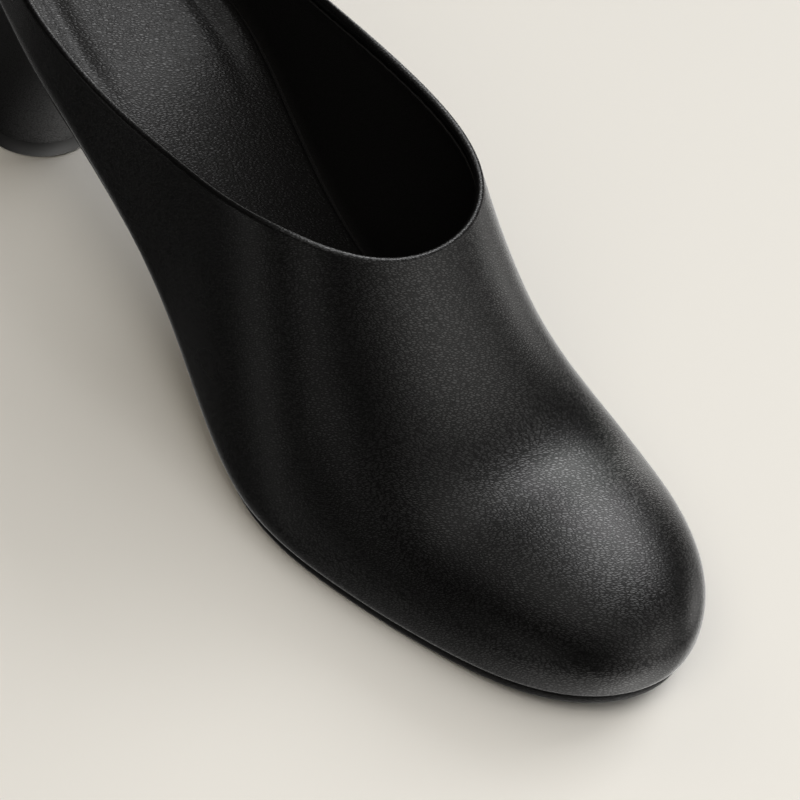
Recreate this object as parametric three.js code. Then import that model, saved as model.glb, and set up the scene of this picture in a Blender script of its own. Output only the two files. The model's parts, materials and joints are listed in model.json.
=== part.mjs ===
// A backless heeled shoe, a mule, for the right foot, in millimetres.
// +X points to the toe, +Y to the wearer's left (the inner side of the foot) and +Z up.
// The floor is z = 0. The sizes below start at the back of the heel, and the finished
// group is moved so that its box is centred on the origin.

import * as THREE from "three";
import { mergeVertices } from "three/addons/utils/BufferGeometryUtils.js";

// Driving sizes of the last and the sole
const LENGTH = 242;          // back of the heel to the tip of the toe, in plan
const BALL_WIDTH = 72;       // sum of the two half widths that the outline table is written in
const TOE_SWING = 4.9;       // how far the toe's middle line bends to the inner side
const SEAT_RISE = 49.6;      // feather line above the floor where the seat ends
const SEAT_SLOPE = 0.184;    // rise of the seat towards the back, per millimetre
const TOE_SPRING = 6.5;      // lift of the feather line at the tip of the toe

// Thicknesses and clearances
const WALL = 2;              // upper with its lining
const SOLE = 3.7;            // outsole
const SEAM = 0.3;            // gap between pieces that are glued in the real shoe
const MARGIN = 6;            // width of the upper that is turned under the insole
const FOOTBED = 5.6;         // top of the insole above the feather line
const FOOTBED_ROUND = 1.3;   // rounding of the insole's edges
const TIP = 5;               // rubber top piece of the heel
const TIP_CHAMFER = 0.7;     // lower edge of the top piece

// Upper
const BULGE = 2.1;           // how far the upper stands out over the feather line
const BULGE_RISE = 6.8;      // height of its widest line above the feather line
const REAR_BULGE = 0.35;     // share of the bulge that is left at the rear ends
const TOE_RISE = 31.2;       // top of the toe dome above the feather line
const THROAT_RISE = 73.9;    // front of the topline above the feather line

// Heel
const HEEL_RADIUS = 15.5;    // at the floor
const HEEL_BACK = 0.3;       // back of the heel's foot in front of the back of the seat
const HEEL_SHIFT = -2;       // sideways place of the heel's foot
const BREAST = 52;           // front of the heel's top, from the back of the seat
const HEEL_INSET = 0.8;      // heel's top inside the edge of the sole
const HEEL_FLARE = 1.35;     // above 1 the heel widens mostly near its top
const BREAST_ROUND = 6;      // the higher, the squarer the front of the heel's top

// Stations along the shoe, as shares of the length
const SEAT_END = 0.24;
const TREAD_START = 0.623;
const TREAD_END = 0.76;
const UPPER_START = 0.06;
const FULL_BULGE = 0.20;
const INSOLE_WIDE = 0.025;   // behind this the insole reaches the edge of the sole
const INSOLE_NARROW = 0.055; // in front of this it lies inside the upper
const THROAT = 0.664;
const TOE_CROWN = 0.836;

// Section shape of the upper, at the throat and at the toe crown
const SECTION = {
  throat: { side: 2.0, top: 1.45 },
  toe: { side: 2.0, top: 2.37 },
};
const SPINE_CURVE = 2.12;    // how sharply the instep sweeps up from the toe
const RIDGE_LEAN = 0.62;     // ridge's pull from the middle towards the wider side
const CROWN_BLEND = 18;      // distance over which the ribs gather at the toe crown
const RIDGE_EASE = 0.07;     // softness of the change from the instep's sweep to the toe dome

// Edge of the outsole, from its underside up, in shares of its thickness
const SOLE_EDGE = [
  { inset: 0.38, rise: 0.00 },
  { inset: 0.14, rise: 0.25 },
  { inset: 0.05, rise: 0.60 },
  { inset: 0.11, rise: 1.00 },
];

// Outline of the feather line: place along the length, half widths as shares of BALL_WIDTH
const OUTLINE = [
  { at: 0.00, outer: 0.000, inner: 0.000 },
  { at: 0.04, outer: 0.220, inner: 0.220 },
  { at: 0.14, outer: 0.320, inner: 0.350 },
  { at: 0.28, outer: 0.380, inner: 0.340 },
  { at: 0.43, outer: 0.390, inner: 0.300 },
  { at: 0.55, outer: 0.470, inner: 0.380 },
  { at: 0.65, outer: 0.520, inner: 0.460 },
  { at: 0.74, outer: 0.490, inner: 0.490 },
  { at: 0.83, outer: 0.425, inner: 0.450 },
  { at: 0.91, outer: 0.345, inner: 0.360 },
  { at: 0.97, outer: 0.220, inner: 0.220 },
  { at: 1.00, outer: 0.000, inner: 0.000 },
];

// Topline: place along the length, rise above the feather line as shares of THROAT_RISE
const TOPLINE = [
  { at: UPPER_START, outer: 0.090, inner: 0.090 },
  { at: 0.15, outer: 0.230, inner: 0.220 },
  { at: 0.24, outer: 0.280, inner: 0.360 },
  { at: 0.33, outer: 0.390, inner: 0.550 },
  { at: 0.42, outer: 0.610, inner: 0.800 },
  { at: 0.51, outer: 0.880, inner: 0.980 },
  { at: 0.60, outer: 1.040, inner: 1.040 },
  { at: THROAT, outer: 1.000, inner: 1.000 },
];

// Mesh steps
const STEPS = { seat: 5, rear: 22, front: 20, rib: 11, tuck: 5, round: 32, heel: 9 };

const SIDES = { outer: -1, inner: 1 };
const clamp01 = (value) => Math.min(1, Math.max(0, value));
const smooth = (value) => value * value * (3 - 2 * value);
const mix = (from, to, share) => from + (to - from) * share;

// Natural cubic spline through the points, as a function
function spline(xs, ys) {
  const last = xs.length - 1;
  const bend = new Array(xs.length).fill(0);
  const carry = new Array(xs.length).fill(0);
  for (let i = 1; i < last; i += 1) {
    const share = (xs[i] - xs[i - 1]) / (xs[i + 1] - xs[i - 1]);
    const pivot = share * bend[i - 1] + 2;
    const slopeAfter = (ys[i + 1] - ys[i]) / (xs[i + 1] - xs[i]);
    const slopeBefore = (ys[i] - ys[i - 1]) / (xs[i] - xs[i - 1]);
    const change = 6 * (slopeAfter - slopeBefore) / (xs[i + 1] - xs[i - 1]);
    bend[i] = (share - 1) / pivot;
    carry[i] = (change - share * carry[i - 1]) / pivot;
  }
  bend[last] = 0;
  for (let i = last - 1; i >= 0; i -= 1) bend[i] = bend[i] * bend[i + 1] + carry[i];
  return (x) => {
    let i = 1;
    while (i < last && x > xs[i]) i += 1;
    const step = xs[i] - xs[i - 1];
    const a = (xs[i] - x) / step;
    const b = 1 - a;
    const curve = ((a ** 3 - a) * bend[i - 1] + (b ** 3 - b) * bend[i]) * step * step / 6;
    return a * ys[i - 1] + b * ys[i] + curve;
  };
}

// The outline runs from the back of the heel (turn 0) to the tip of the toe (turn 1)
const turnAt = (share) => Math.acos(1 - 2 * clamp01(share)) / Math.PI;
const alongAt = (turn) => LENGTH * (1 - Math.cos(Math.PI * turn)) / 2;
const outlineTurns = OUTLINE.map((row) => turnAt(row.at));
const toplinePlaces = TOPLINE.map((row) => row.at);
const halfWidth = {};
const toplineRise = {};
for (const side of Object.keys(SIDES)) {
  halfWidth[side] = spline(outlineTurns, OUTLINE.map((row) => row[side] * BALL_WIDTH));
  toplineRise[side] = spline(toplinePlaces, TOPLINE.map((row) => row[side] * THROAT_RISE));
}

const middleLine = (x) => TOE_SWING * smooth(clamp01((x / LENGTH - 0.5) / 0.5));

// Point of the feather outline, moved inwards by inset
function outlinePoint(turn, side, inset = 0) {
  const place = (t) => {
    const x = alongAt(t);
    return new THREE.Vector2(x, middleLine(x) + SIDES[side] * halfWidth[side](t));
  };
  const nudge = 0.0005;
  const point = place(turn);
  const ahead = place(Math.min(1, turn + nudge)).sub(place(Math.max(0, turn - nudge)));
  const inwards = new THREE.Vector2(SIDES[side] * ahead.y, -SIDES[side] * ahead.x);
  if (turn === 0) inwards.set(1, 0);
  if (turn === 1) inwards.set(-1, 0);
  return point.addScaledVector(inwards.normalize(), inset);
}

// Height of the feather line, where the upper meets the sole
function feather(x) {
  const share = x / LENGTH;
  const tread = SOLE + SEAM;
  if (share > TREAD_START) {
    const lift = Math.max(0, (share - TREAD_END) / (1 - TREAD_END));
    return tread + TOE_SPRING * lift ** 2;
  }
  if (share < SEAT_END) return SEAT_RISE + SEAT_SLOPE * LENGTH * (SEAT_END - share);
  const run = TREAD_START - SEAT_END;
  const climb = (TREAD_START - share) / run;
  const ease = SEAT_SLOPE * LENGTH * run * (climb ** 3 - climb ** 2);
  return tread + (SEAT_RISE - tread) * smooth(climb) + ease;
}

// Upright length of one millimetre that is measured square to the sole
function upright(x) {
  const reach = 0.5;
  return Math.hypot(1, (feather(x + reach) - feather(x - reach)) / (2 * reach));
}

// Height of the upper's ridge, from the toe crown back to the throat and on beyond it
function ridge(x) {
  const throatHeight = feather(THROAT * LENGTH) + THROAT_RISE;
  const toeHeight = feather(TOE_CROWN * LENGTH) + TOE_RISE;
  const share = (TOE_CROWN - x / LENGTH) / (TOE_CROWN - THROAT);
  const back = RIDGE_EASE * Math.log1p(Math.exp(share / RIDGE_EASE));
  return toeHeight + (throatHeight - toeHeight) * back ** SPINE_CURVE;
}

// The upper's bulge is small at its rear ends and full from the middle of the seat on
function bulgeShare(x) {
  const run = clamp01((x / LENGTH - UPPER_START) / (FULL_BULGE - UPPER_START));
  return mix(REAR_BULGE, 1, smooth(run));
}

// One rib of the upper: from the ridge to the widest line, and the section's shape there
function ribAt(turn, side) {
  const x = alongAt(turn);
  const crown = TOE_CROWN * LENGTH;
  const gather = clamp01((x - crown + CROWN_BLEND) / (2 * CROWN_BLEND));
  const start = x > crown + CROWN_BLEND ? crown : x - CROWN_BLEND * gather ** 2;
  const startTurn = turnAt(start / LENGTH);
  const lean = (halfWidth.inner(startTurn) - halfWidth.outer(startTurn)) / 2;
  const fade = clamp01((crown - start) / (crown - THROAT * LENGTH));
  const toe = 1 - smooth(fade);
  return {
    x,
    middle: new THREE.Vector2(start, middleLine(start) + lean),
    edge: outlinePoint(turn, side, -BULGE * bulgeShare(x)),
    foot: outlinePoint(turn, side),
    shift: -RIDGE_LEAN * lean * (1 - toe),
    start,
    toe,
    low: feather(x) + BULGE_RISE * bulgeShare(x),
    sidePower: mix(SECTION.throat.side, SECTION.toe.side, toe),
    topPower: mix(SECTION.throat.top, SECTION.toe.top, toe),
  };
}

// Point of a rib: angle 90 degrees is the ridge, 0 the widest line
function ribPoint(rib, angle) {
  const reach = Math.max(0, Math.cos(angle)) ** (2 / rib.sidePower);
  const height = Math.max(0, Math.sin(angle)) ** (2 / rib.topPower);
  const plan = rib.middle.clone().lerp(rib.edge, reach);
  const top = ridge(mix(rib.start, plan.x, rib.toe));
  const z = mix(rib.low, top, height);
  return new THREE.Vector3(plan.x, plan.y + rib.shift * (1 - reach ** 2), z);
}

// Angle at which the topline crosses a rib behind the throat
function toplineAngle(rib, side) {
  const share = rib.x / LENGTH;
  if (share >= THROAT - 1e-6) return Math.PI / 2;
  const top = ridge(rib.start);
  const z = Math.min(top, feather(rib.x) + toplineRise[side](share));
  const height = clamp01((z - rib.low) / (top - rib.low));
  return Math.asin(height ** (rib.topPower / 2));
}

// Column of points from the topline or ridge down the side and in under the insole
function upperColumn(turn, side) {
  const rib = ribAt(turn, side);
  const start = toplineAngle(rib, side);
  const points = [];
  for (let i = 0; i <= STEPS.rib; i += 1) {
    points.push(ribPoint(rib, start * (1 - i / STEPS.rib)));
  }
  for (let i = 1; i <= STEPS.tuck; i += 1) {
    const angle = (Math.PI / 2) * (i / STEPS.tuck);
    const plan = rib.foot.clone().lerp(rib.edge, Math.cos(angle));
    points.push(new THREE.Vector3(plan.x, plan.y, mix(rib.low, feather(rib.x), Math.sin(angle))));
  }
  const turned = outlinePoint(turn, side, MARGIN);
  points.push(new THREE.Vector3(turned.x, turned.y, feather(turned.x)));
  return points;
}

// Places of the upper's columns: close together at the round front of the topline
function upperTurns() {
  const turns = [];
  for (let i = 0; i <= STEPS.rear; i += 1) {
    const share = mix(UPPER_START, THROAT, Math.sin((Math.PI / 2) * (i / STEPS.rear)));
    turns.push(turnAt(share));
  }
  const throatTurn = turnAt(THROAT);
  for (let i = 1; i <= STEPS.front; i += 1) turns.push(mix(throatTurn, 1, i / STEPS.front));
  return turns;
}

// Places round the sole: the upper's, so that both bend alike, and the seat behind them
function soleTurns() {
  const turns = [];
  const first = turnAt(UPPER_START);
  for (let i = 0; i < STEPS.seat; i += 1) turns.push(first * (i / STEPS.seat));
  return [...turns, ...upperTurns()];
}

// Builds a mesh from points and triangles, with equal points joined and flat ones dropped
function meshFrom(points, triangles) {
  const geometry = new THREE.BufferGeometry();
  const flat = triangles.flatMap((corners) => corners.flatMap((i) => points[i].toArray()));
  geometry.setAttribute("position", new THREE.Float32BufferAttribute(flat, 3));
  const joined = mergeVertices(geometry, 2e-3);
  const kept = [];
  for (let i = 0; i < joined.index.count; i += 3) {
    const [a, b, c] = [0, 1, 2].map((n) => joined.index.getX(i + n));
    if (a !== b && b !== c && a !== c) kept.push(a, b, c);
  }
  joined.setIndex(kept);
  return joined;
}

// Two triangles for each cell of a grid of rows
function gridTriangles(rows, columns, flipped) {
  const triangles = [];
  for (let r = 0; r < rows - 1; r += 1) {
    for (let c = 0; c < columns - 1; c += 1) {
      const [a, b] = [r * columns + c, r * columns + c + 1];
      const [d, e] = [a + columns, b + columns];
      const cell = [[a, b, e], [a, e, d]];
      for (const corners of cell) triangles.push(flipped ? corners.reverse() : corners);
    }
  }
  return triangles;
}

// Gives an open surface a wall inwards and closes its rims
function thicken(surface, wall) {
  surface.computeVertexNormals();
  const place = surface.attributes.position;
  const normal = surface.attributes.normal;
  const index = Array.from(surface.index.array);
  const count = place.count;
  const points = [];
  for (let layer = 0; layer < 2; layer += 1) {
    for (let i = 0; i < count; i += 1) {
      const point = new THREE.Vector3().fromBufferAttribute(place, i);
      const outwards = new THREE.Vector3().fromBufferAttribute(normal, i);
      points.push(point.addScaledVector(outwards, -wall * layer));
    }
  }
  const triangles = [];
  const edges = new Map();
  for (let i = 0; i < index.length; i += 3) {
    const [a, b, c] = index.slice(i, i + 3);
    triangles.push([a, b, c], [c + count, b + count, a + count]);
    for (const [from, to] of [[a, b], [b, c], [c, a]]) edges.set(`${from},${to}`, [from, to]);
  }
  for (const [from, to] of edges.values()) {
    if (edges.has(`${to},${from}`)) continue;
    triangles.push([from, from + count, to + count], [from, to + count, to]);
  }
  return meshFrom(points, triangles);
}

function upperGeometry() {
  const turns = upperTurns();
  const points = [];
  const triangles = [];
  for (const side of Object.keys(SIDES)) {
    const offset = points.length;
    const columns = turns.map((turn) => upperColumn(turn, side));
    points.push(...columns.flat());
    const cells = gridTriangles(columns.length, columns[0].length, side === "inner");
    for (const corners of cells) triangles.push(corners.map((i) => i + offset));
  }
  return thicken(meshFrom(points, triangles), WALL);
}

// Closed ring round the outline, at an inset and height that may change along it
function outlineRing(insetAt, heightAt) {
  const half = (side) => soleTurns().map((turn) => {
    const plan = outlinePoint(turn, side, insetAt(alongAt(turn)));
    return new THREE.Vector3(plan.x, plan.y, heightAt(plan.x));
  });
  return [...half("outer"), ...half("inner").reverse().slice(1, -1)];
}

// Solid through a stack of rings from bottom to top, closed by strips across the ends
function stack(rings) {
  const count = rings[0].length;
  const points = rings.flat();
  const triangles = [];
  for (let r = 0; r < rings.length - 1; r += 1) {
    for (let i = 0; i < count; i += 1) {
      const [a, b] = [r * count + i, r * count + ((i + 1) % count)];
      triangles.push([a, b, b + count], [a, b + count, a + count]);
    }
  }
  const cap = (offset, flipped) => {
    for (let i = 0; i < count / 2; i += 1) {
      const [a, b] = [i, i + 1];
      const [d, e] = [(count - i) % count, count - i - 1];
      for (const corners of [[a, d, e], [a, e, b]]) {
        const ordered = flipped ? corners.reverse() : corners;
        triangles.push(ordered.map((n) => n + offset));
      }
    }
  };
  cap(0, false);
  cap((rings.length - 1) * count, true);
  return meshFrom(points, triangles);
}

// Outsole: flat below the ball, arched in the waist, with a slightly rounded lower edge
const soleTop = (x) => feather(x) - SEAM * upright(x);
const soleBottom = (x) => feather(x) - SEAM - SOLE;

function outsoleGeometry() {
  return stack(SOLE_EDGE.map((row) => outlineRing(
    () => row.inset * SOLE,
    (x) => mix(soleBottom(x), soleTop(x), row.rise),
  )));
}

// Insole with its padded footbed: it lies on the upper's turned margin, fills the
// space inside that margin, and widens to the edge of the sole behind the upper
function insoleGeometry() {
  const inside = WALL + SEAM;
  const core = MARGIN + 2 * SEAM;
  const narrow = (x) => smooth(clamp01(
    (x / LENGTH - INSOLE_WIDE) / (INSOLE_NARROW - INSOLE_WIDE),
  ));
  const rows = [
    { front: core, rear: FOOTBED_ROUND, rise: 0.00, lift: 0 },
    { front: core, rear: FOOTBED_ROUND * 0.8, rise: 0.02, lift: 1 },
    { front: inside, rear: FOOTBED_ROUND * 0.2, rise: 0.10, lift: 1 },
    { front: inside, rear: 0, rise: 0.55, lift: 0.3 },
    { front: inside, rear: FOOTBED_ROUND * 0.2, rise: 0.80, lift: 0 },
    { front: inside + FOOTBED_ROUND, rear: FOOTBED_ROUND, rise: 1.00, lift: 0 },
  ];
  const lift = (x) => (WALL + SEAM) * upright(x) * narrow(x);
  return stack(rows.map((row) => outlineRing(
    (x) => mix(row.rear, row.front, narrow(x)),
    (x) => feather(x) + row.rise * FOOTBED + row.lift * lift(x),
  )));
}

// Heel: the seat's outline above, closed by a round breast, and a circle at the floor
function heelGeometry() {
  const half = STEPS.round / 2;
  const foot = TIP + SEAM;
  const rings = [];
  for (let level = 0; level <= STEPS.heel; level += 1) {
    const share = level / STEPS.heel;
    const spread = share ** HEEL_FLARE;
    const point = (i, side) => {
      const turn = i / half;
      const round = Math.PI * turn;
      const x = mix(HEEL_INSET, BREAST, (1 - Math.cos(round)) / 2);
      const width = halfWidth[side](turnAt(x / LENGTH)) - HEEL_INSET;
      const closing = Math.sqrt(Math.max(0, 1 - (x / BREAST) ** BREAST_ROUND));
      const top = new THREE.Vector2(x, SIDES[side] * Math.max(0, width) * closing);
      const floor = new THREE.Vector2(
        HEEL_BACK + HEEL_RADIUS * (1 - Math.cos(round)),
        HEEL_SHIFT + SIDES[side] * HEEL_RADIUS * Math.sin(round),
      );
      const seat = soleBottom(top.x) - SEAM * upright(top.x);
      const plan = floor.lerp(top, spread);
      return new THREE.Vector3(plan.x, plan.y, mix(foot, seat, share));
    };
    const outer = [];
    const inner = [];
    for (let i = 0; i <= half; i += 1) {
      outer.push(point(i, "outer"));
      inner.push(point(i, "inner"));
    }
    inner[0].copy(outer[0]);
    inner[half].copy(outer[half]);
    rings.push([...outer, ...inner.reverse().slice(1, -1)]);
  }
  return stack(rings);
}

// Rubber top piece that the heel stands on
function topPieceGeometry() {
  const profile = [
    new THREE.Vector2(0, 0),
    new THREE.Vector2(HEEL_RADIUS - TIP_CHAMFER, 0),
    new THREE.Vector2(HEEL_RADIUS, TIP_CHAMFER),
    new THREE.Vector2(HEEL_RADIUS, TIP),
    new THREE.Vector2(0, TIP),
  ];
  const geometry = new THREE.LatheGeometry(profile, STEPS.round);
  geometry.rotateX(Math.PI / 2);
  geometry.translate(HEEL_BACK + HEEL_RADIUS, HEEL_SHIFT, 0);
  return geometry;
}

const leather = (color, roughness) => new THREE.MeshStandardMaterial({ color, roughness });
const smoothCalf = leather(0x17161a, 0.42);
const footbedLeather = leather(0x1b1a1c, 0.55);
const soleLeather = leather(0x121112, 0.6);
const heelRubber = leather(0x100f10, 0.75);

function addPiece(group, name, geometry, material) {
  const piece = new THREE.Mesh(geometry, material);
  piece.name = name;
  group.add(piece);
}

const shoe = new THREE.Group();
addPiece(shoe, "upper", upperGeometry(), smoothCalf);
addPiece(shoe, "insole", insoleGeometry(), footbedLeather);
addPiece(shoe, "outsole", outsoleGeometry(), soleLeather);
addPiece(shoe, "heel", heelGeometry(), smoothCalf);
addPiece(shoe, "top_piece", topPieceGeometry(), heelRubber);

// Centre the shoe's box over the origin
const box = new THREE.Box3().setFromObject(shoe);
const centre = box.getCenter(new THREE.Vector3());
for (const piece of shoe.children) piece.position.set(-centre.x, -centre.y, 0);

export default shoe;
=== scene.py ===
# A black leather mule for the right foot, standing empty on a plain pale floor.
# The shapes are worked out in millimetres, from the back of the heel, with +X to the toe and
# +Y to the inner side of the foot. They are moved into the frame's metres when a mesh is made.

import json
import math

import bmesh
import bpy
import numpy as np
from mathutils import Matrix, Vector

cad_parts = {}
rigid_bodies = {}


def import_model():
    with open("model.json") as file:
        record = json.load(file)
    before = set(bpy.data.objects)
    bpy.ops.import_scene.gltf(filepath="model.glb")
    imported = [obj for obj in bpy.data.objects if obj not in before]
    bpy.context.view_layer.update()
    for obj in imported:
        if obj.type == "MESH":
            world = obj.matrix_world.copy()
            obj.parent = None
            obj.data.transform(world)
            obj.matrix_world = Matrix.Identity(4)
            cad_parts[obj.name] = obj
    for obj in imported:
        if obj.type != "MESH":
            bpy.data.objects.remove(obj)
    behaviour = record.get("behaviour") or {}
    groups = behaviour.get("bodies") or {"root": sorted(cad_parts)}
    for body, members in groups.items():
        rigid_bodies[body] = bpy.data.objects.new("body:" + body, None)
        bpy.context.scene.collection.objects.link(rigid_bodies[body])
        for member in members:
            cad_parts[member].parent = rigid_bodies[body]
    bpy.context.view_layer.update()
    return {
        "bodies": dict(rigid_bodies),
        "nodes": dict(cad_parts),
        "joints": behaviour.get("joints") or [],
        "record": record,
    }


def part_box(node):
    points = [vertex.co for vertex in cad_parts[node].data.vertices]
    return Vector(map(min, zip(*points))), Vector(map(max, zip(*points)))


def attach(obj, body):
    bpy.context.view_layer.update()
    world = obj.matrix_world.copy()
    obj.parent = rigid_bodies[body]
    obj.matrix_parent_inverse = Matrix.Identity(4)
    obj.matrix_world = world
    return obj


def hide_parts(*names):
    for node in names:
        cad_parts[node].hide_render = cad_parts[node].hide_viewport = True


# Last and sole, the same values as in the part's source
LENGTH = 242
BALL_WIDTH = 72
TOE_SWING = 4.9
SEAT_RISE = 49.6
SEAT_SLOPE = 0.184
TOE_SPRING = 6.5
WALL = 2
SOLE = 3.7
SEAM = 0.3
MARGIN = 6
FOOTBED = 5.6
TIP = 5

# Upper
BULGE = 2.1
BULGE_RISE = 6.8
REAR_BULGE = 0.35
TOE_RISE = 31.2
THROAT_RISE = 73.9

# Heel
HEEL_RADIUS = 15.5
HEEL_BACK = 0.3
HEEL_SHIFT = -2
BREAST = 52
HEEL_INSET = 0.8
HEEL_FLARE = 1.35
BREAST_ROUND = 6
HEEL_JOINT = 0.04

# Stations as shares of the length
SEAT_END = 0.24
TREAD_START = 0.623
TREAD_END = 0.76
UPPER_START = 0.06
FULL_BULGE = 0.20
INSOLE_WIDE = 0.025
INSOLE_NARROW = 0.055
THROAT = 0.664
TOE_CROWN = 0.836

# Section shape of the upper
THROAT_POWERS = (2.0, 1.45)
TOE_POWERS = (2.0, 2.37)
SPINE_CURVE = 2.12
RIDGE_LEAN = 0.62
CROWN_BLEND = 18
RIDGE_EASE = 0.07

# Outline of the feather line: place, outer and inner half width as shares of BALL_WIDTH
OUTLINE = np.array([
    (0.00, 0.000, 0.000),
    (0.04, 0.220, 0.220),
    (0.14, 0.320, 0.350),
    (0.28, 0.380, 0.340),
    (0.43, 0.390, 0.300),
    (0.55, 0.470, 0.380),
    (0.65, 0.520, 0.460),
    (0.74, 0.490, 0.490),
    (0.83, 0.425, 0.450),
    (0.91, 0.345, 0.360),
    (0.97, 0.220, 0.220),
    (1.00, 0.000, 0.000),
])

# Topline: place, outer and inner rise as shares of THROAT_RISE
TOPLINE = np.array([
    (UPPER_START, 0.090, 0.090),
    (0.15, 0.230, 0.220),
    (0.24, 0.280, 0.360),
    (0.33, 0.390, 0.550),
    (0.42, 0.610, 0.800),
    (0.51, 0.880, 0.980),
    (0.60, 1.040, 1.040),
    (THROAT, 1.000, 1.000),
])

# Edge of the outsole, from its underside up: inset and rise as shares of SOLE
SOLE_EDGE = np.array([
    (0.40, 0.00),
    (0.26, 0.045),
    (0.14, 0.20),
    (0.06, 0.45),
    (0.05, 0.62),
    (0.07, 0.86),
    (0.13, 0.95),
    (0.24, 1.00),
])

# Collar: the outer leather folds over a round crest and ends inside as a narrow facing
CREST = WALL / 2
LEATHER = 1.2
FACING = 2.8
FACING_HOLLOW = 0.22
FACING_LIP = 0.12
FACING_TAIL = 0.08

# Lining: its edge stands proud of the wall over a small gap, and it settles on the wall below
LINING_DROP = 3.4
LINING_THICK = 0.65
LINING_PROUD = 0.55
LINING_GAP = 0.02
LINING_SINK = 0.08
LINING_ROUND = 0.22
LINING_SETTLE = 4.0

# Side of the footbed, from its underside up: inset in front, inset at the rear, height as a
# share of FOOTBED, and its lift over the upper's margin as a share of BED_WALL
BED_CORE = MARGIN + 2 * SEAM
BED_WALL = WALL + SEAM
BED_SIDE = [
    (BED_CORE, 1.30, 0.00, 0.00),
    (BED_CORE, 1.00, 0.02, 1.00),
    (BED_WALL, 0.26, 0.10, 1.00),
    (BED_WALL, 0.02, 0.35, 0.50),
    (BED_WALL, 0.00, 0.60, 0.15),
]
BED_ROUND = 1.3
BED_SHOULDER = 0.76
BED_MIDDLE = (0.13, 0.86)

# Padding of the footbed: distance from the pad's edge, spread and height
PAD_EDGE = 3.0
PAD_RIM = (1.0, 3.0, 0.35)
PAD_GROOVE = (6.6, 2.6, -0.9)
PAD_FADE_START = 0.20
PAD_FADE = 0.16

# Top piece from the floor up: how far outside HEEL_RADIUS, and how high
TOP_PIECE_EDGE = [
    (-0.70, 0.00),
    (-0.42, 0.12),
    (-0.12, 0.42),
    (0.00, 0.70),
    (0.00, TIP - 0.08),
    (-0.02, TIP - 0.02),
    (-0.08, TIP),
]

# Leather grain: its cells are squeezed along a slanting direction, and its creases are dull
GRAIN_TURN = 137
GRAIN_TILT = 42
GRAIN_SQUEEZE = 0.36
CREASE_GLOSS = 0.35

# Leather recipe, as shares of the grain's size and depth
WARP_SIZE = 2.2
WARP_REACH = 0.6
PORE_SIZE = 0.45
PORE_DEPTH = 0.3

# Slow unevenness of the leather's surface and gloss, in metres apart from the gloss
SWELL_SIZE = 0.016
SWELL_DEPTH = 0.00005
GLOSS_SIZE = 0.02
GLOSS_SPREAD = 0.05

# Length in millimetres over which slopes are measured
REACH = 0.5

# Mesh steps
SEAT_STEPS = 26
REAR_STEPS = 110
FRONT_STEPS = 100
RIB_STEPS = 44
TUCK_STEPS = 8
MARGIN_STEPS = 2
ROUND_STEPS = 160
HEEL_STEPS = 48
BED_STEPS = 34
BED_ROUND_STEPS = 6
WALL_STEPS = 240
CREST_STEPS = 12
FACING_STEPS = 8

# Camera, fitted to the photograph's outlines
AZIMUTH = 42.64
ELEVATION = 47.73
ROLL = 6.87
DISTANCE = 1034.6
TARGET = (158.86, -4.23, 30.05)
LENS = 209.15
SENSOR = 36

# Floor
FLOOR_REACH = 3.0
FLOOR_DROP = 0.0002
FLOOR_COLOR = (0.80, 0.785, 0.751)

# Lights
LIGHT_AIM = Vector((0.05, 0.0, 0.03))
LIGHT_SIZE = 0.8
LIGHT_DISTANCE = 1.3
WARM = (1.0, 0.985, 0.955)
NEUTRAL = (1.0, 1.0, 1.0)
BACKDROP = (0.80, 0.785, 0.75)

# Lights on the floor: name, azimuth, elevation, watts, colour
WASHES = [
    ("wash_front", -10, 60, 7.2, (1.0, 0.99, 0.97)),
    ("wash_key", 90, 40, 8.0, (1.0, 0.995, 0.985)),
    ("wash_inner", 50, 62, 3.8, (1.0, 0.99, 0.97)),
    ("wash_back", 195, 48, 1.2, (1.0, 0.90, 0.75)),
    ("wash_outer", 300, 58, 4.3, (1.0, 0.92, 0.79)),
]

# Glows that the leather mirrors: azimuth, elevation, sharpness, strength, colour.
# A sharpness of 0 is the same all round.
GLOWS = [
    (0, 0, 0, 0.02, WARM),
    (118, 40, 40, 6.4, NEUTRAL),
    (100, 46, 40, 4.0, NEUTRAL),
    (120, 59, 32, 4.2, NEUTRAL),
    (100, 74, 22, 2.4, NEUTRAL),
    (268, 66, 14, 1.0, WARM),
    (330, 62, 14, 0.5, WARM),
    (16, 6, 7, 1.8, WARM),
    (35, 26, 12, 0.5, WARM),
    (74, -10, 40, 2.4, WARM),
    (128, -6, 30, 3.3, WARM),
    (113, -48, 10, 1.5, WARM),
    (10, -54, 14, 2.6, WARM),
    (300, -57, 14, 0.8, WARM),
    (240, -26, 60, 0.6, WARM),
    (286, -8, 30, 0.6, WARM),
]

OUTER, INNER = 0, 1
SIDES = np.array([-1.0, 1.0])


def clamp(value):
    """Keeps a value between 0 and 1."""
    return np.clip(value, 0.0, 1.0)


def smooth(value):
    return value * value * (3 - 2 * value)


def mix(start, end, share):
    return start + (end - start) * share


def spline(xs, ys):
    """Natural cubic spline through the points, as a function of an array."""
    count = len(xs)
    step = np.diff(xs)
    slope = np.diff(ys) / step
    system = np.eye(count)
    change = np.zeros(count)
    for i in range(1, count - 1):
        system[i, i - 1:i + 2] = step[i - 1], 2 * (step[i - 1] + step[i]), step[i]
        change[i] = 6 * (slope[i] - slope[i - 1])
    bend = np.linalg.solve(system, change)

    def at(x):
        x = np.asarray(x, float)
        i = np.clip(np.searchsorted(xs, x), 1, count - 1)
        width = xs[i] - xs[i - 1]
        a = (xs[i] - x) / width
        b = 1 - a
        curve = ((a ** 3 - a) * bend[i - 1] + (b ** 3 - b) * bend[i]) * width ** 2 / 6
        return a * ys[i - 1] + b * ys[i] + curve

    return at


def turn_at(share):
    """Turn from heel to toe at a share of the length: 0 at the heel's end, 1 at the toe's."""
    return np.arccos(1 - 2 * clamp(share)) / np.pi


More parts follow.
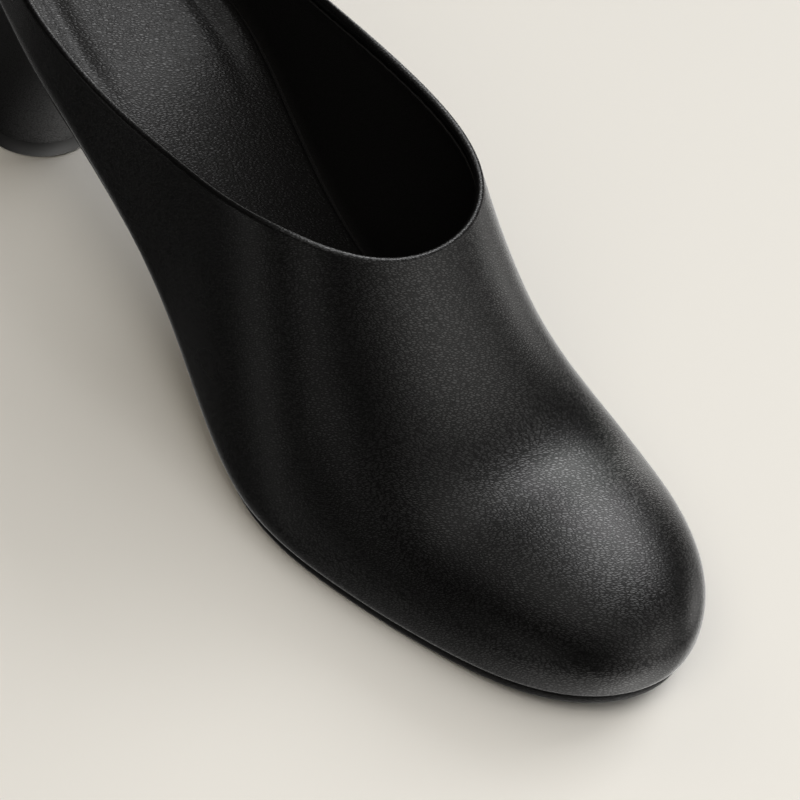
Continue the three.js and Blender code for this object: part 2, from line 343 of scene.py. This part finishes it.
def along_at(turn):
    return LENGTH * (1 - np.cos(np.pi * turn)) / 2


HALF_WIDTH = [spline(turn_at(OUTLINE[:, 0]), OUTLINE[:, k] * BALL_WIDTH) for k in (1, 2)]
TOPLINE_RISE = [spline(TOPLINE[:, 0], TOPLINE[:, k] * THROAT_RISE) for k in (1, 2)]


def middle_line(x):
    return TOE_SWING * smooth(clamp((x / LENGTH - 0.5) / 0.5))


def outline_point(turn, side, inset=0.0):
    """Point of the feather outline in plan, moved inwards by inset."""
    turn = np.asarray(turn, float)

    def place(t):
        x = along_at(t)
        return np.stack([x, middle_line(x) + SIDES[side] * HALF_WIDTH[side](t)], axis=-1)

    nudge = 0.0005
    ahead = place(np.minimum(1, turn + nudge)) - place(np.maximum(0, turn - nudge))
    inwards = SIDES[side] * np.stack([ahead[..., 1], -ahead[..., 0]], axis=-1)
    inwards[turn <= 0] = (1, 0)
    inwards[turn >= 1] = (-1, 0)
    inwards /= np.linalg.norm(inwards, axis=-1, keepdims=True)
    return place(turn) + inwards * np.asarray(inset, float)[..., None]


def feather(x):
    """Height of the line where the upper meets the sole."""
    share = np.asarray(x, float) / LENGTH
    tread = SOLE + SEAM
    lift = np.maximum(0, (share - TREAD_END) / (1 - TREAD_END))
    front = tread + TOE_SPRING * lift ** 2
    seat = SEAT_RISE + SEAT_SLOPE * LENGTH * (SEAT_END - share)
    run = TREAD_START - SEAT_END
    climb = (TREAD_START - share) / run
    ease = SEAT_SLOPE * LENGTH * run * (climb ** 3 - climb ** 2)
    waist = tread + (SEAT_RISE - tread) * smooth(climb) + ease
    return np.where(share > TREAD_START, front, np.where(share < SEAT_END, seat, waist))


def upright(x):
    """Upright length of one millimetre that is measured square to the sole."""
    return np.hypot(1, (feather(x + REACH) - feather(x - REACH)) / (2 * REACH))


def ridge(x):
    """Height of the upper's ridge, from the toe crown back past the throat."""
    throat_height = feather(THROAT * LENGTH) + THROAT_RISE
    toe_height = feather(TOE_CROWN * LENGTH) + TOE_RISE
    back = (TOE_CROWN - x / LENGTH) / (TOE_CROWN - THROAT)
    back = RIDGE_EASE * np.logaddexp(0, back / RIDGE_EASE)
    return toe_height + (throat_height - toe_height) * back ** SPINE_CURVE


def bulge_share(x):
    run = clamp((x / LENGTH - UPPER_START) / (FULL_BULGE - UPPER_START))
    return mix(REAR_BULGE, 1, smooth(run))


def ribs(turn, side):
    """The ribs of one side: where each starts, how wide it is, and its section there."""
    x = along_at(turn)
    crown = TOE_CROWN * LENGTH
    gather = clamp((x - crown + CROWN_BLEND) / (2 * CROWN_BLEND))
    start = np.where(x > crown + CROWN_BLEND, crown, x - CROWN_BLEND * gather ** 2)
    start_turn = turn_at(start / LENGTH)
    lean = (HALF_WIDTH[INNER](start_turn) - HALF_WIDTH[OUTER](start_turn)) / 2
    toe = 1 - smooth(clamp((crown - start) / (crown - THROAT * LENGTH)))
    return {
        "x": x,
        "middle": np.stack([start, middle_line(start) + lean], axis=-1),
        "edge": outline_point(turn, side, -BULGE * bulge_share(x)),
        "foot": outline_point(turn, side),
        "shift": -RIDGE_LEAN * lean * (1 - toe),
        "start": start,
        "toe": toe,
        "low": feather(x) + BULGE_RISE * bulge_share(x),
        "side_power": mix(THROAT_POWERS[0], TOE_POWERS[0], toe),
        "top_power": mix(THROAT_POWERS[1], TOE_POWERS[1], toe),
    }


def throat_at(drop):
    """Place of the throat when the topline is lowered by drop, measured along the ridge."""
    front = THROAT * LENGTH
    slope = (ridge(front) - ridge(front + REACH)) / REACH
    return THROAT + drop / np.hypot(1, slope) / LENGTH


def topline_angle(rib, side, drop):
    """Angle at which the lowered topline crosses each rib; 90 degrees is the ridge."""
    throat = throat_at(drop)
    front = throat * LENGTH
    full_drop = feather(front) + TOPLINE_RISE[side](throat) - ridge(front)

    def steepness(x):
        back, ahead = (feather(at) + TOPLINE_RISE[side](at / LENGTH) for at in (x - REACH, x + REACH))
        return np.hypot(1, (ahead - back) / (2 * REACH))

    lowered = full_drop * steepness(rib["x"]) / steepness(front)
    z = feather(rib["x"]) + TOPLINE_RISE[side](rib["x"] / LENGTH) - lowered
    top = ridge(rib["start"])
    height = clamp((np.minimum(top, z) - rib["low"]) / (top - rib["low"]))
    angle = np.arcsin(height ** (rib["top_power"] / 2))
    return np.where(rib["x"] / LENGTH >= throat - 1e-7, np.pi / 2, angle)


def rib_points(rib, angle):
    """Points of the ribs, one row of angles to each rib."""
    reach = np.maximum(0, np.cos(angle)) ** (2 / rib["side_power"][:, None])
    height = np.maximum(0, np.sin(angle)) ** (2 / rib["top_power"][:, None])
    x = mix(rib["middle"][:, None, 0], rib["edge"][:, None, 0], reach)
    y = mix(rib["middle"][:, None, 1], rib["edge"][:, None, 1], reach)
    y = y + rib["shift"][:, None] * (1 - reach ** 2)
    top = ridge(mix(rib["start"][:, None], x, rib["toe"][:, None]))
    z = mix(rib["low"][:, None], top, height)
    return np.stack([x, y, z], axis=-1)


def upper_turns(drop):
    """Places of the upper's columns, close together at the round front of the topline."""
    throat = throat_at(drop)
    rise = np.sin(np.linspace(0, np.pi / 2, REAR_STEPS + 1))
    rear = turn_at(mix(UPPER_START, throat, rise))
    front = np.linspace(turn_at(throat), 1, FRONT_STEPS + 1)[1:]
    return np.concatenate([rear, front])


def upper_side(side, drop):
    """Grid of points of one side, from the topline or ridge down and in under the insole."""
    turns = upper_turns(drop)
    rib = ribs(turns, side)
    start = topline_angle(rib, side, drop)
    angle = start[:, None] * np.linspace(1, 0, RIB_STEPS + 1)[None, :]
    wall = rib_points(rib, angle)
    bend = np.linspace(0, np.pi / 2, TUCK_STEPS + 1)[1:]
    plan = mix(rib["foot"][:, None, :], rib["edge"][:, None, :], np.cos(bend)[None, :, None])
    low = mix(rib["low"][:, None], feather(rib["x"])[:, None], np.sin(bend)[None, :])
    tuck = np.concatenate([plan, low[..., None]], axis=-1)
    turned = []
    for step in range(1, MARGIN_STEPS + 1):
        point = outline_point(turns, side, MARGIN * step / MARGIN_STEPS)
        turned.append(np.column_stack([point, feather(point[:, 0])]))
    return np.concatenate([wall, tuck, np.stack(turned, axis=1)], axis=1)


def quads(numbers):
    """Faces between neighbouring vertex numbers of a grid."""
    corners = [numbers[:-1, :-1], numbers[:-1, 1:], numbers[1:, 1:], numbers[1:, :-1]]
    return np.stack(corners, axis=-1).reshape(-1, 4)


def vertex_normals(points, faces):
    diagonals = points[faces[:, 2]] - points[faces[:, 0]], points[faces[:, 3]] - points[faces[:, 1]]
    face_normals = np.cross(*diagonals)
    normals = np.zeros_like(points)
    for corner in range(4):
        np.add.at(normals, faces[:, corner], face_normals)
    return normals / np.maximum(np.linalg.norm(normals, axis=1, keepdims=True), 1e-12)


def upper_layer(drop):
    """One surface of the upper: points, vertex numbers by side, faces and outward normals."""
    points = np.stack([upper_side(side, drop) for side in (OUTER, INNER)])
    numbers = np.arange(points[..., 0].size).reshape(points.shape[:3])
    numbers[INNER, REAR_STEPS:, 0] = numbers[OUTER, REAR_STEPS:, 0]
    numbers[INNER, -1, :] = numbers[OUTER, -1, :]
    reach = along_at(upper_turns(drop)) > TOE_CROWN * LENGTH + CROWN_BLEND
    numbers[:, reach, 0] = numbers[OUTER, np.argmax(reach), 0]
    faces = np.concatenate([quads(numbers[OUTER]), quads(numbers[INNER])[:, ::-1]])
    points = points.reshape(-1, 3)
    return points, numbers, faces, vertex_normals(points, faces)


def collar_numbers(numbers):
    """Vertex numbers along the topline, from the rear of the outer side round the throat."""
    outer = numbers[OUTER, :REAR_STEPS + 1, 0]
    return np.concatenate([outer, numbers[INNER, :REAR_STEPS, 0][::-1]])


def collar_frame(points, numbers, normals):
    """Points of the topline with their outward and downward directions."""
    line = collar_numbers(numbers)
    place = points[line]
    outwards = normals[line]
    down = np.cross(outwards, np.gradient(place, axis=0))
    down /= np.linalg.norm(down, axis=1, keepdims=True)
    middle = REAR_STEPS // 2
    below = points[numbers[OUTER, middle, 1]] - place[middle]
    return place, outwards, down * np.sign(down[middle] @ below)


def swept(frame, profile):
    """Rows of points along the topline, one for each (outwards, down) pair of the profile."""
    place, outwards, down = frame
    return [place + outwards * out + down * low for out, low in profile]


def shell(outer, inner_points, inner_numbers, lip):
    """Closed solid between two layers, with rows of lip points round the topline."""
    points, numbers, faces, _ = outer
    count = len(points)
    inner_numbers = inner_numbers + count
    rows = [collar_numbers(numbers)]
    first = count + len(inner_points)
    for row in lip:
        rows.append(np.arange(first, first + len(row)))
        first += len(row)
    rows.append(collar_numbers(inner_numbers))
    inner_faces = [quads(inner_numbers[OUTER])[:, ::-1], quads(inner_numbers[INNER])]
    parts = [faces, *inner_faces, quads(np.stack(rows))]
    for side in (OUTER, INNER):
        parts.append(quads(np.stack([numbers[side, :, -1], inner_numbers[side, :, -1]])))
        parts.append(quads(np.stack([numbers[side, 0, :], inner_numbers[side, 0, :]])))
    caps = [[int(row[end]) for row in rows] for end in (0, -1)]
    all_points = np.concatenate([points, inner_points, *lip])
    return all_points, np.concatenate(parts), caps


def make_piece(name, points, faces, polygons, material, sharp):
    """Makes a closed mesh object in the frame's metres from points in millimetres.

    Edges that bend by more than the sharp angle stay sharp.
    """
    cleaned = []
    for face in faces.tolist():
        corners = [n for k, n in enumerate(face) if n != face[k - 1]]
        if len(corners) > 2:
            cleaned.append(corners)
    cleaned += polygons
    used = np.unique(np.concatenate([np.array(face) for face in cleaned]))
    place = np.full(len(points), -1)
    place[used] = np.arange(len(used))
    cleaned = [[int(place[n]) for n in face] for face in cleaned]
    mesh = bpy.data.meshes.new(name)
    mesh.from_pydata(((points[used] + SHIFT) / 1000).tolist(), [], cleaned)
    work = bmesh.new()
    work.from_mesh(mesh)
    bmesh.ops.recalc_face_normals(work, faces=work.faces)
    work.to_mesh(mesh)
    work.free()
    mesh.shade_smooth()
    mesh.set_sharp_from_angle(angle=math.radians(sharp))
    mesh.materials.append(material)
    piece = bpy.data.objects.new(name, mesh)
    bpy.context.scene.collection.objects.link(piece)
    return piece


def upper_leather_piece(material):
    """Outer leather: it folds over the crest and ends inside as the facing."""
    outer = upper_layer(CREST)
    points, numbers, _, normals = outer
    frame = collar_frame(points, numbers, normals)
    profile = []
    for bend in np.linspace(0, np.pi, CREST_STEPS + 1)[1:]:
        profile.append((CREST * (np.cos(bend) - 1), -CREST * np.sin(bend)))
    for share in np.linspace(0, 1, FACING_STEPS + 1)[1:]:
        hollow = FACING_HOLLOW * math.sin(math.pi * share / 2)
        profile.append((hollow - WALL, FACING * share))
    profile.append((FACING_HOLLOW - WALL + FACING_LIP, FACING + FACING_TAIL))
    inner = upper_layer(CREST + FACING)
    inner_points = inner[0] - inner[3] * LEATHER
    parts = shell(outer, inner_points, inner[1], swept(frame, profile))
    return make_piece("upper_leather", *parts, material, sharp=60)


def lining_piece(material):
    """Lining: its cut edge stands a little proud of the facing, lower down it lies flat."""
    outer = upper_layer(LINING_DROP)
    points, numbers, faces, normals = outer
    frame = collar_frame(points, numbers, normals)
    line = frame[0][::3]
    gaps = np.linalg.norm(points[:, None, :] - line[None, :, :], axis=2)
    settled = smooth(clamp(gaps.min(axis=1) / LINING_SETTLE))
    depth = mix(WALL + LINING_GAP, WALL - LINING_THICK - LINING_SINK, settled)[:, None]
    thick = mix(LINING_PROUD, LINING_THICK + LINING_SINK, settled)[:, None]
    inner_points = points - normals * (depth + thick)
    outer_points = points - normals * depth
    edge = []
    for share in (0.2, 0.5, 0.8):
        out = -WALL - LINING_GAP - LINING_PROUD * share
        edge.append((out, -LINING_ROUND * math.sin(math.pi * share)))
    lip = swept(frame, edge)
    parts = shell((outer_points, numbers, faces, normals), inner_points, numbers, lip)
    return make_piece("lining", *parts, material, sharp=60)


def sole_turns():
    first = turn_at(UPPER_START)
    seat = np.linspace(0, first, SEAT_STEPS + 1)[:-1]
    return np.concatenate([seat, upper_turns(0)])


def outline_ring(inset_at, height_at):
    """Closed ring round the outline, at an inset and height that may change along it."""
    turns = sole_turns()
    halves = []
    for side in (OUTER, INNER):
        plan = outline_point(turns, side, inset_at(along_at(turns)) * np.ones_like(turns))
        halves.append(np.column_stack([plan, height_at(plan[:, 0])]))
    return np.concatenate([halves[OUTER], halves[INNER][1:-1][::-1]])


def ring_faces(rings, count):
    """Faces of the wall through a stack of closed rings."""
    numbers = np.arange(rings * count).reshape(rings, count)
    return quads(np.concatenate([numbers, numbers[:, :1]], axis=1))


def cap_faces(first, count):
    """Strips across a ring whose two halves mirror each other's numbers."""
    outer = np.arange(count // 2 + 1)
    inner = (count - outer) % count
    return quads(np.stack([outer, inner])) + first


def outsole_piece(material):
    """Outsole: flat below the ball, arched in the waist, with a rounded waxed edge."""
    def top(x):
        return feather(x) - SEAM * upright(x)

    def bottom(x):
        return feather(x) - SEAM - SOLE

    rings = []
    for inset, rise in SOLE_EDGE:
        rings.append(outline_ring(lambda x: inset * SOLE, lambda x: mix(bottom(x), top(x), rise)))
    count = len(rings[0])
    faces = [ring_faces(len(rings), count), cap_faces(0, count)]
    faces.append(cap_faces((len(rings) - 1) * count, count))
    return make_piece("outsole_leather", np.concatenate(rings), np.concatenate(faces), [], material, 50)


def bed_share(x):
    """0 where the footbed reaches the edge of the sole, 1 where it lies inside the upper."""
    return smooth(clamp((x / LENGTH - INSOLE_WIDE) / (INSOLE_NARROW - INSOLE_WIDE)))


def soft_ridge(gaps, place, spread, height):
    """Soft ridge, or groove where its height is negative, at a distance from the edge."""
    return height * np.exp(-((gaps - place) / spread) ** 2)


def bed_relief(points):
    """Padding of the footbed: a rim and a soft groove beside the wall, fading to the front."""
    turns = np.linspace(0, 1, WALL_STEPS + 1)
    wall = np.concatenate([outline_point(turns, side, PAD_EDGE) for side in (OUTER, INNER)])
    gaps = np.linalg.norm(points[:, None, :2] - wall[None, :, :], axis=2).min(axis=1)
    share = points[:, 0] / LENGTH
    fade = 1 - smooth(clamp((share - PAD_FADE_START) / PAD_FADE))
    return fade * (soft_ridge(gaps, *PAD_RIM) + soft_ridge(gaps, *PAD_GROOVE))


def bed_rings():
    """Closed rings up the side of the footbed and over its rounded upper edge."""
    rows = list(BED_SIDE)
    for bend in np.linspace(0, np.pi / 2, BED_ROUND_STEPS + 1):
        round_in = BED_ROUND * (1 - math.cos(bend))
        rows.append((BED_WALL + round_in, round_in, mix(BED_SHOULDER, 1, math.sin(bend)), 0))
    rings = []
    for front, rear, rise, lift in rows:
        def inset(x):
            return mix(rear, front, bed_share(x))

        def height(x):
            return feather(x) + rise * FOOTBED + lift * BED_WALL * upright(x) * bed_share(x)

        rings.append(outline_ring(inset, height))
    return rings


def bed_top(ring, first):
    """Rows from a ring, numbered from first, in to the middle line: points and faces."""
    count = len(ring)
    half = count // 2 + 1
    mirrored = (count - np.arange(half)) % count
    edge = np.stack([ring[:half], ring[mirrored]])
    heel, toe = (share * LENGTH for share in BED_MIDDLE)
    middle_x = np.clip(edge[:, :, 0].mean(axis=0), heel, toe)
    middle = np.column_stack([middle_x, middle_line(middle_x)])
    shares = np.linspace(0, 1, BED_STEPS + 1)[1:]
    inside = mix(edge[:, :, None, :2], middle[None, :, None, :], shares[None, None, :, None])
    flat = inside.reshape(-1, 2)
    bed = np.column_stack([flat, feather(flat[:, 0]) + FOOTBED])
    bed[:, 2] += bed_relief(bed)
    numbers = first + count + np.arange(len(bed)).reshape(2, half, BED_STEPS)
    numbers[INNER, :, -1] = numbers[OUTER, :, -1]
    for pinned, limit in ((middle_x <= heel, heel), (middle_x >= toe, toe)):
        numbers[:, pinned, -1] = numbers[OUTER, np.argmax(middle_x == limit), -1]
    numbers[INNER, 0, :] = numbers[OUTER, 0, :]
    numbers[INNER, -1, :] = numbers[OUTER, -1, :]
    faces = []
    for side, line in ((OUTER, np.arange(half)), (INNER, mirrored)):
        faces.append(quads(np.concatenate([first + line[:, None], numbers[side]], axis=1)))
    return bed, np.concatenate(faces)


def footbed_piece(material):
    """Footbed with its padding: rings up the side, then rows in to the middle line."""
    rings = bed_rings()
    count = len(rings[0])
    bed, top_faces = bed_top(rings[-1], (len(rings) - 1) * count)
    faces = [ring_faces(len(rings), count), cap_faces(0, count), top_faces]
    points = np.concatenate([*rings, bed])
    return make_piece("footbed", points, np.concatenate(faces), [], material, 50)


def heel_piece(material):
    """Heel: the seat's outline above, closed by a round breast, and a circle at the floor."""
    half = ROUND_STEPS // 2
    turn = np.linspace(0, np.pi, half + 1)
    x = mix(HEEL_INSET, BREAST, (1 - np.cos(turn)) / 2)
    closing = np.sqrt(np.maximum(0, 1 - (x / BREAST) ** BREAST_ROUND))
    seat = feather(x) - SEAM - SOLE - SEAM * upright(x)
    rings = []
    for share in np.linspace(0, 1, HEEL_STEPS + 1):
        spread = share ** HEEL_FLARE
        halves = []
        for side in (OUTER, INNER):
            width = np.maximum(0, HALF_WIDTH[side](turn_at(x / LENGTH)) - HEEL_INSET) * closing
            floor_x = HEEL_BACK + HEEL_RADIUS * (1 - np.cos(turn))
            floor_y = HEEL_SHIFT + SIDES[side] * HEEL_RADIUS * np.sin(turn)
            plan_y = mix(floor_y, SIDES[side] * width, spread)
            height = mix(TIP + HEEL_JOINT, seat, share)
            halves.append(np.column_stack([mix(floor_x, x, spread), plan_y, height]))
        rings.append(np.concatenate([halves[OUTER], halves[INNER][1:-1][::-1]]))
    count = len(rings[0])
    faces = [ring_faces(len(rings), count), cap_faces(0, count)]
    faces.append(cap_faces((len(rings) - 1) * count, count))
    return make_piece("heel_cover", np.concatenate(rings), np.concatenate(faces), [], material, 50)


def heel_rubber_piece(material):
    """Rubber top piece, with a small chamfer at the floor and a tight upper edge."""
    turn = np.linspace(0, 2 * np.pi, ROUND_STEPS, endpoint=False)
    rings = []
    for out, height in TOP_PIECE_EDGE:
        radius = HEEL_RADIUS + out
        x = HEEL_BACK + HEEL_RADIUS - radius * np.cos(turn)
        y = HEEL_SHIFT - radius * np.sin(turn)
        rings.append(np.column_stack([x, y, np.full_like(x, height)]))
    faces = [ring_faces(len(rings), ROUND_STEPS), cap_faces(0, ROUND_STEPS)]
    faces.append(cap_faces((len(rings) - 1) * ROUND_STEPS, ROUND_STEPS))
    return make_piece("heel_rubber", np.concatenate(rings), np.concatenate(faces), [], material, 50)


def new_material(name, base, roughness, specular):
    material = bpy.data.materials.new(name)
    material.use_nodes = True
    shader = material.node_tree.nodes["Principled BSDF"]
    shader.inputs["Base Color"].default_value = (*base, 1)
    shader.inputs["Roughness"].default_value = roughness
    shader.inputs["Specular IOR Level"].default_value = specular
    return material, material.node_tree, shader


def noise(tree, place, size, detail):
    """Noise node of about the given size in metres."""
    node = tree.nodes.new("ShaderNodeTexNoise")
    node.inputs["Scale"].default_value = 1 / size
    node.inputs["Detail"].default_value = detail
    tree.links.new(place, node.inputs["Vector"])
    return node


def span(tree, value, low, high):
    """Spreads a value from 0 to 1 over low to high."""
    spread = tree.nodes.new("ShaderNodeMapRange")
    spread.inputs["To Min"].default_value = low
    spread.inputs["To Max"].default_value = high
    tree.links.new(value, spread.inputs["Value"])
    return spread.outputs["Result"]


def warped(tree, place, size, reach):
    """Object coordinates pushed about a little, so that a pattern isn't regular."""
    push = tree.nodes.new("ShaderNodeVectorMath")
    push.operation = "MULTIPLY_ADD"
    tree.links.new(noise(tree, place, size, 1).outputs["Color"], push.inputs[0])
    push.inputs[1].default_value = (reach, reach, reach)
    tree.links.new(place, push.inputs[2])
    return push.outputs["Vector"]


def bump(tree, height, depth, below=None):
    node = tree.nodes.new("ShaderNodeBump")
    node.inputs["Strength"].default_value = 1
    node.inputs["Distance"].default_value = depth
    tree.links.new(height, node.inputs["Height"])
    if below is not None:
        tree.links.new(below, node.inputs["Normal"])
    return node.outputs["Normal"]


def squeezed(tree, place):
    """Coordinates in which a pattern is squeezed along the grain's slanting direction."""
    mapping = tree.nodes.new("ShaderNodeMapping")
    mapping.vector_type = "TEXTURE"
    mapping.inputs["Rotation"].default_value = (0, -math.radians(GRAIN_TILT), math.radians(GRAIN_TURN))
    mapping.inputs["Scale"].default_value = (GRAIN_SQUEEZE, 1, 1)
    tree.links.new(place, mapping.inputs["Vector"])
    return mapping.outputs["Vector"]


def creased(tree, value, width):
    """Flat cells with a soft crease of the given share of a cell between them."""
    spread = tree.nodes.new("ShaderNodeMapRange")
    spread.interpolation_type = "SMOOTHSTEP"
    spread.inputs["From Max"].default_value = width
    tree.links.new(value, spread.inputs["Value"])
    return spread.outputs["Result"]


def leather(name, base, roughness, specular, grain, depth, crease):
    """Black leather: cells of the grain size with creases between them, pores and uneven gloss."""
    material, tree, shader = new_material(name, base, roughness, specular)
    place = tree.nodes.new("ShaderNodeTexCoord").outputs["Object"]
    moved = warped(tree, squeezed(tree, place), grain * WARP_SIZE, grain * WARP_REACH)
    cells = tree.nodes.new("ShaderNodeTexVoronoi")
    cells.feature = "DISTANCE_TO_EDGE"
    cells.inputs["Scale"].default_value = 1 / grain
    tree.links.new(moved, cells.inputs["Vector"])
    flat = creased(tree, cells.outputs["Distance"], crease)
    dulled = span(tree, flat, specular * CREASE_GLOSS, specular)
    tree.links.new(dulled, shader.inputs["Specular IOR Level"])
    low = bump(tree, flat, depth)
    fine = noise(tree, place, grain * PORE_SIZE, 3).outputs["Fac"]
    pores = bump(tree, fine, depth * PORE_DEPTH, low)
    slow = noise(tree, place, SWELL_SIZE, 1).outputs["Fac"]
    tree.links.new(bump(tree, slow, SWELL_DEPTH, pores), shader.inputs["Normal"])
    patches = noise(tree, place, GLOSS_SIZE, 3).outputs["Fac"]
    gloss = span(tree, patches, roughness - GLOSS_SPREAD, roughness + GLOSS_SPREAD)
    tree.links.new(gloss, shader.inputs["Roughness"])
    return material


def rubber(name):
    """Matte black rubber with a very fine surface."""
    material, tree, shader = new_material(name, (0.0036, 0.0034, 0.0034), 0.45, 0.34)
    place = tree.nodes.new("ShaderNodeTexCoord").outputs["Object"]
    fine = noise(tree, place, 0.0004, 2).outputs["Fac"]
    tree.links.new(bump(tree, fine, 0.00002), shader.inputs["Normal"])
    patches = noise(tree, place, 0.008, 3).outputs["Fac"]
    tree.links.new(span(tree, patches, 0.4, 0.5), shader.inputs["Roughness"])
    return material


def floor():
    mesh = bpy.data.meshes.new("floor")
    ends = (-FLOOR_REACH, FLOOR_REACH)
    corners = [(x, y, -FLOOR_DROP) for x in ends for y in ends]
    mesh.from_pydata(corners, [], [(0, 2, 3, 1)])
    material, _, _ = new_material("pale_floor", FLOOR_COLOR, 0.9, 0.15)
    mesh.materials.append(material)
    ground = bpy.data.objects.new("floor", mesh)
    ground.visible_glossy = False
    bpy.context.scene.collection.objects.link(ground)


def wash(name, azimuth, elevation, power, color):
    """Area light for the floor. Azimuth runs from the toe to the inner side."""
    lamp = bpy.data.lights.new(name, "AREA")
    lamp.shape = "SQUARE"
    lamp.size = LIGHT_SIZE
    lamp.energy = power
    lamp.color = color
    holder = bpy.data.objects.new(name, lamp)
    aim = Vector(facing(azimuth, elevation))
    turned = aim.to_track_quat("Z", "Y").to_matrix().to_4x4()
    holder.matrix_world = Matrix.Translation(LIGHT_AIM + aim * LIGHT_DISTANCE) @ turned
    holder.visible_glossy = False
    bpy.context.scene.collection.objects.link(holder)


def facing(azimuth, elevation):
    """Unit direction to an azimuth and elevation in degrees."""
    turn, tilt = math.radians(azimuth), math.radians(elevation)
    level = math.cos(tilt)
    return math.cos(turn) * level, math.sin(turn) * level, math.sin(tilt)


def glow(rows):
    """World of soft round glows that the leather mirrors, and a pale backdrop behind it all."""
    world = bpy.data.worlds.new("studio")
    world.use_nodes = True
    tree = world.node_tree
    way = tree.nodes.new("ShaderNodeTexCoord").outputs["Generated"]
    total = None
    for azimuth, elevation, sharpness, strength, color in rows:
        along = tree.nodes.new("ShaderNodeVectorMath")
        along.operation = "DOT_PRODUCT"
        along.inputs[1].default_value = facing(azimuth, elevation)
        tree.links.new(way, along.inputs[0])
        scaled = tree.nodes.new("ShaderNodeMath")
        scaled.operation = "MULTIPLY_ADD"
        scaled.inputs[1].default_value = sharpness
        scaled.inputs[2].default_value = -sharpness
        tree.links.new(along.outputs["Value"], scaled.inputs[0])
        fade = tree.nodes.new("ShaderNodeMath")
        fade.operation = "EXPONENT"
        tree.links.new(scaled.outputs["Value"], fade.inputs[0])
        added = tree.nodes.new("ShaderNodeVectorMath")
        added.operation = "MULTIPLY_ADD"
        added.inputs[1].default_value = [strength * part for part in color]
        tree.links.new(fade.outputs["Value"], added.inputs[0])
        if total is not None:
            tree.links.new(total, added.inputs[2])
        total = added.outputs["Vector"]
    seen = tree.nodes.new("ShaderNodeLightPath").outputs["Is Camera Ray"]
    shown = tree.nodes.new("ShaderNodeMix")
    shown.data_type = "RGBA"
    shown.inputs["B"].default_value = (*BACKDROP, 1)
    tree.links.new(seen, shown.inputs["Factor"])
    tree.links.new(total, shown.inputs["A"])
    background = tree.nodes["Background"]
    tree.links.new(shown.outputs["Result"], background.inputs["Color"])
    world.cycles_visibility.diffuse = False
    bpy.context.scene.world = world


def lights():
    glow(GLOWS)
    for row in WASHES:
        wash(*row)


def camera():
    """Camera at the photograph's viewing angle, rolled as it is."""
    azimuth, elevation, roll = (math.radians(v) for v in (AZIMUTH, ELEVATION, ROLL))
    back = Vector((
        math.cos(azimuth) * math.cos(elevation),
        -math.sin(azimuth) * math.cos(elevation),
        math.sin(elevation),
    ))
    level = Vector((0, 0, 1)).cross(back).normalized()
    steep = back.cross(level)
    right = level * math.cos(roll) + steep * math.sin(roll)
    up = -level * math.sin(roll) + steep * math.cos(roll)
    place = (Vector(TARGET) + Vector(SHIFT)) / 1000 + back * DISTANCE / 1000
    turned = Matrix((right, up, back)).transposed().to_4x4()
    lens = bpy.data.cameras.new("camera")
    lens.lens = LENS
    lens.sensor_width = SENSOR
    holder = bpy.data.objects.new("camera", lens)
    holder.matrix_world = Matrix.Translation(place) @ turned
    bpy.context.scene.collection.objects.link(holder)
    bpy.context.scene.camera = holder


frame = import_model()
tip_low, tip_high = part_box("top_piece")
tip_middle = (tip_low + tip_high) * 500
SHIFT = np.array([tip_middle.x - HEEL_BACK - HEEL_RADIUS, tip_middle.y - HEEL_SHIFT, 0.0])

calf = leather(
    "calf", base=(0.0026, 0.0025, 0.0025), roughness=0.26, specular=0.52,
    grain=0.0011, depth=0.000026, crease=0.34,
)
lining_leather = leather(
    "lining_leather", base=(0.009, 0.0087, 0.0087), roughness=0.55, specular=0.12,
    grain=0.0009, depth=0.00003, crease=0.2,
)
bed_leather = leather(
    "bed_leather", base=(0.0050, 0.0048, 0.0048), roughness=0.40, specular=0.48,
    grain=0.0012, depth=0.00006, crease=0.36,
)
# The sole edge's dark colour and low specular level are partly the edge's own dark finish and partly
# painted shade: they stand in for the dark contact shadow that the edge would mirror.
sole_edge_with_painted_shade = leather(
    "sole_edge_with_painted_shade", base=(0.0045, 0.0043, 0.0042), roughness=0.45, specular=0.14,
    grain=0.0012, depth=0.00002, crease=0.2,
)
heel_calf = leather(
    "heel_calf", base=(0.0034, 0.0032, 0.0032), roughness=0.40, specular=0.18,
    grain=0.0008, depth=0.00001, crease=0.2,
)

pieces = {
    "upper": (upper_leather_piece(calf), "upper_leather"),
    "upper_lining": (lining_piece(lining_leather), "upper_leather"),
    "insole": (footbed_piece(bed_leather), "footbed_leather"),
    "outsole": (outsole_piece(sole_edge_with_painted_shade), "sole_leather"),
    "heel": (heel_piece(heel_calf), "heel_leather"),
    "top_piece": (heel_rubber_piece(rubber("heel_rubber")), "heel_rubber"),
}
for node, (piece, slot) in pieces.items():
    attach(piece, "root")
    if node in frame["nodes"]:
        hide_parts(node)

floor()
lights()
camera()
bpy.context.scene.view_settings.view_transform = "Standard"
